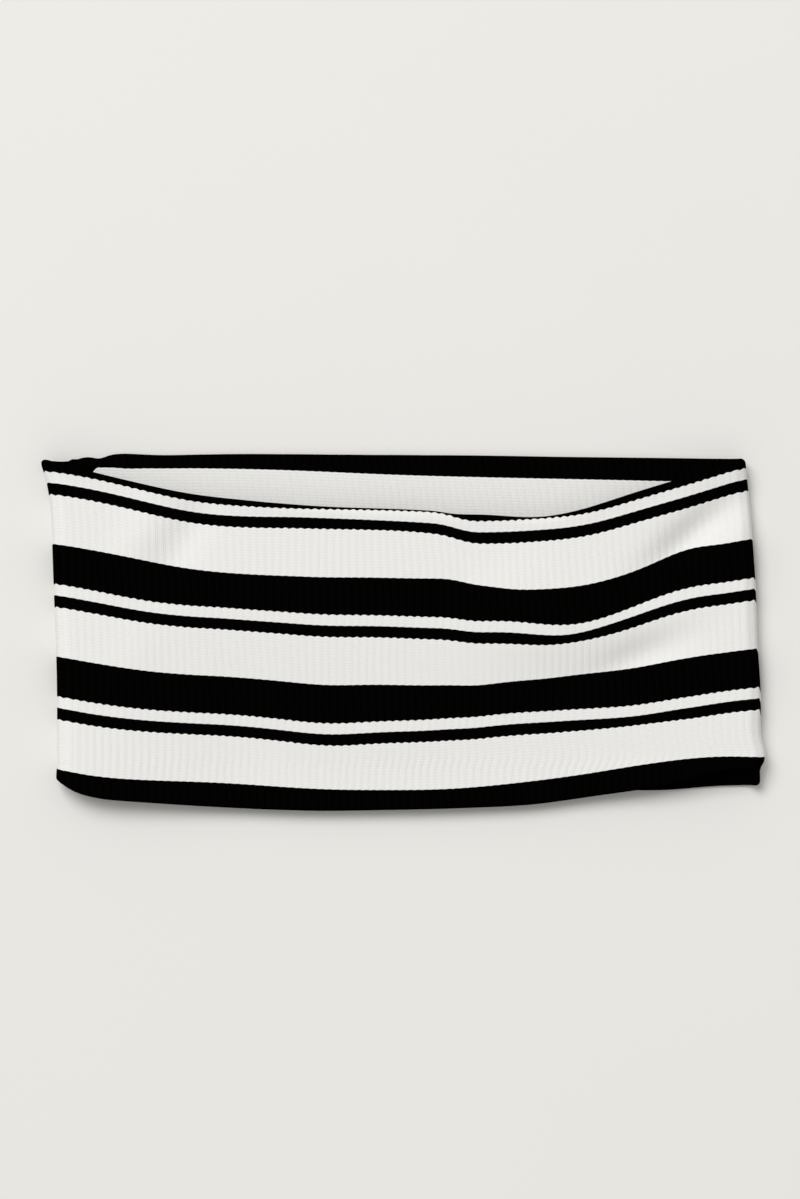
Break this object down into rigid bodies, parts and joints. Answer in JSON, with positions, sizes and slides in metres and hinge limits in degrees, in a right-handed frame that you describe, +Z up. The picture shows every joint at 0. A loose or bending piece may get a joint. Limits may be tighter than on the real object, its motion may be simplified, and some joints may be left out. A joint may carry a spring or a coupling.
{
  "type": "sports headband",
  "caption": "Wide double-layer rib-knit headband with knitted-in stripes, a stretch loop worn round the head to keep sweat and hair back.",
  "frame": {"origin": "on the table under the middle of the flat band", "axes": "+X along the flat band's width, +Y towards the rim whose mouth shows the inner face, +Z up from the table"},
  "size_m": [0.229, 0.1136, 0.0108],
  "materials": {
    "rib_knit_outside": "matt 2 by 2 rib knit, off-white with knitted-in black stripes",
    "rib_knit_inside": "matt 2 by 2 rib knit, the wearer's side of the same striped sheet",
    "seam_thread": "matt black overlock and linking thread"
  },
  "bodies": {
    "back": {"back_outer_layer": "rib_knit_outside", "back_inner_layer": "rib_knit_inside", "back_long_seam": "seam_thread", "left_ramp_outer_layer": "rib_knit_outside", "left_ramp_inner_layer": "rib_knit_inside", "left_ramp_long_seam": "seam_thread", "right_ramp_outer_layer": "rib_knit_outside", "right_ramp_inner_layer": "rib_knit_inside", "right_ramp_long_seam": "seam_thread", "left_fold_outer_layer": "rib_knit_outside", "left_fold_inner_layer": "rib_knit_inside", "left_fold_long_seam": "seam_thread", "right_fold_outer_layer": "rib_knit_outside", "right_fold_inner_layer": "rib_knit_inside", "right_fold_long_seam": "seam_thread", "end_seam_allowance": "rib_knit_inside", "end_seam_overlock_thread": "seam_thread"},
    "front": {"front_outer_layer": "rib_knit_outside", "front_inner_layer": "rib_knit_inside", "front_long_seam": "seam_thread"}
  },
  "joints": [
    {"name": "mouth_opening", "type": "slide", "parent": "back", "child": "front", "axis": [0, 0, 1], "range_m": [0, 0.045], "deforming": ["left_ramp_outer_layer", "left_ramp_inner_layer", "left_ramp_long_seam", "right_ramp_outer_layer", "right_ramp_inner_layer", "right_ramp_long_seam"]}
  ]
}
